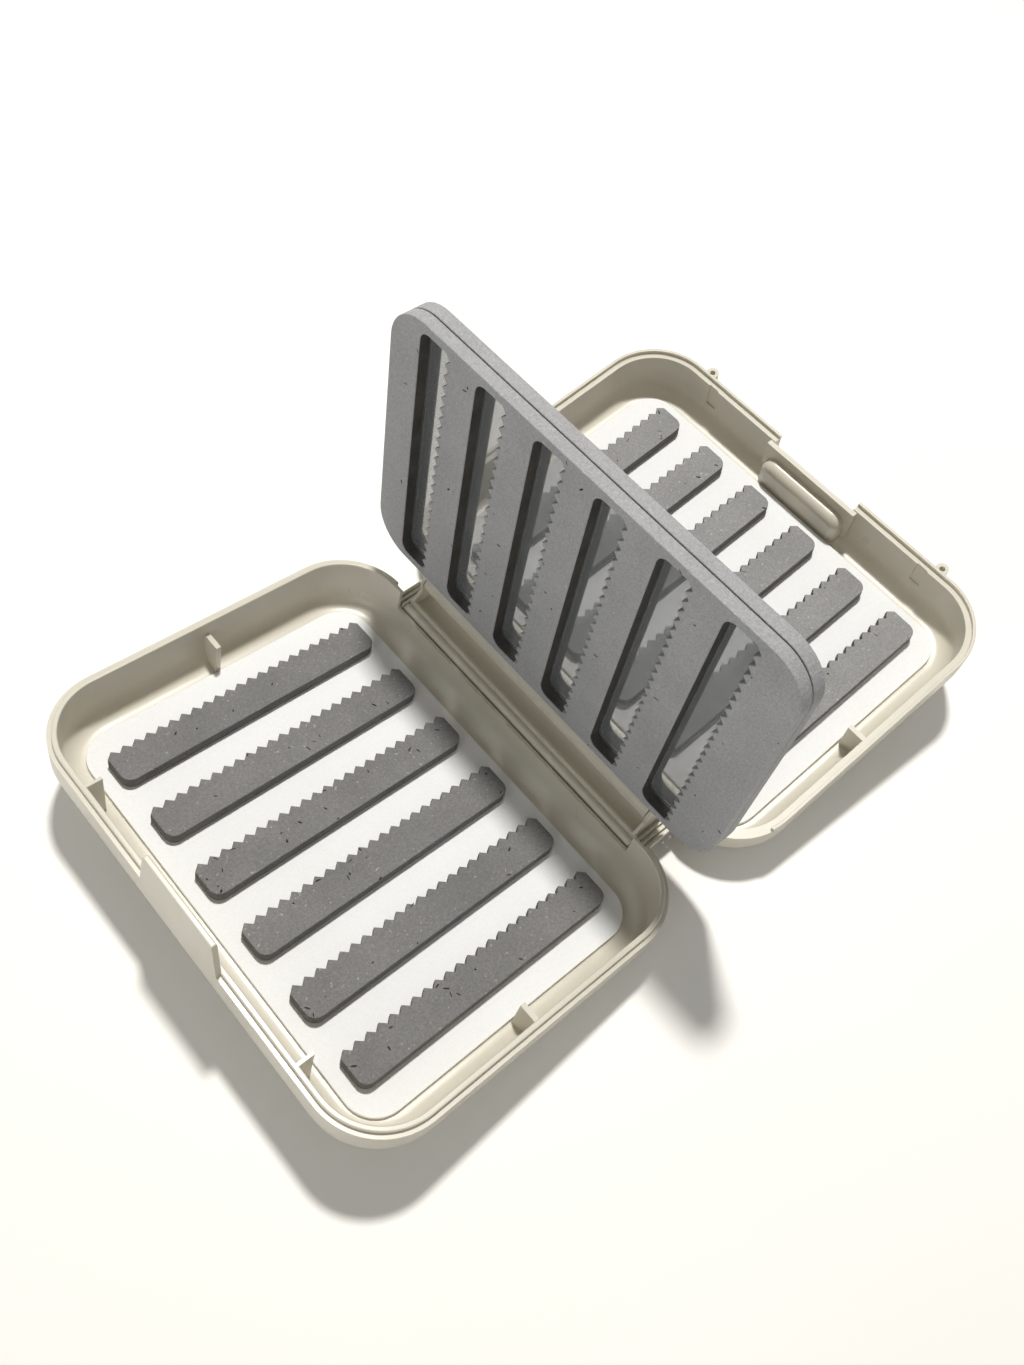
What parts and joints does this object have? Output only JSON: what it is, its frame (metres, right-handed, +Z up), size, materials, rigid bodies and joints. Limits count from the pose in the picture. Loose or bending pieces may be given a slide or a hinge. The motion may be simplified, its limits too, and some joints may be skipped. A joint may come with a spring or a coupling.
{
  "type": "fly box",
  "caption": "Slit-foam fly box, open: base and lid trays on a shared hinge spine, with a swinging double-sided foam page between them.",
  "frame": {"origin": "on the ground under the middle of the hinge spine, half way along the hinge", "axes": "+X across the open box towards the lid, +Y along the hinge, +Z up; the box stands open as a shallow V"},
  "size_m": [0.1921, 0.118, 0.0904],
  "materials": {
    "shell": "moulded, satin, warm beige-grey",
    "clear_plate": "thin clear film, slightly hazy",
    "page_foam": "closed-cell foam, cool mid grey",
    "strip_foam": "closed-cell foam, fine cells, dark grey",
    "white_foam": "thin closed-cell foam sheet, white"
  },
  "bodies": {
    "base": {"base_tray": "shell", "base_foam_sheet": "white_foam", "base_strip_1": "strip_foam", "base_strip_2": "strip_foam", "base_strip_3": "strip_foam", "base_strip_4": "strip_foam", "base_strip_5": "strip_foam", "base_strip_6": "strip_foam"},
    "spine": {"hinge_spine": "shell"},
    "lid": {"lid_tray": "shell", "lid_lanyard_ears": "shell", "lid_foam_sheet": "white_foam", "lid_strip_1": "strip_foam", "lid_strip_2": "strip_foam", "lid_strip_3": "strip_foam", "lid_strip_4": "strip_foam", "lid_strip_5": "strip_foam", "lid_strip_6": "strip_foam"},
    "page": {"page_holder": "shell", "page_plate": "clear_plate", "page_foam_front": "page_foam", "page_foam_back": "page_foam"}
  },
  "joints": [
    {"name": "base_hinge", "type": "hinge", "parent": "base", "child": "spine", "pos_m": [-0.006, 0, 0.00702], "axis": [0, -1, 0], "range_deg": [0, 82.05]},
    {"name": "lid_hinge", "type": "hinge", "parent": "spine", "child": "lid", "pos_m": [0.006, 0, 0.00702], "axis": [0, -1, 0], "range_deg": [0, 82.05]},
    {"name": "page_pivot", "type": "hinge", "parent": "spine", "child": "page", "pos_m": [0, 0, 0.01432], "axis": [0, 1, 0], "range_deg": [-84.5, 79.6]}
  ],
  "couplings": [
    {"joint": "page_pivot", "follows": "lid_hinge", "ratio": -0.029982}
  ]
}
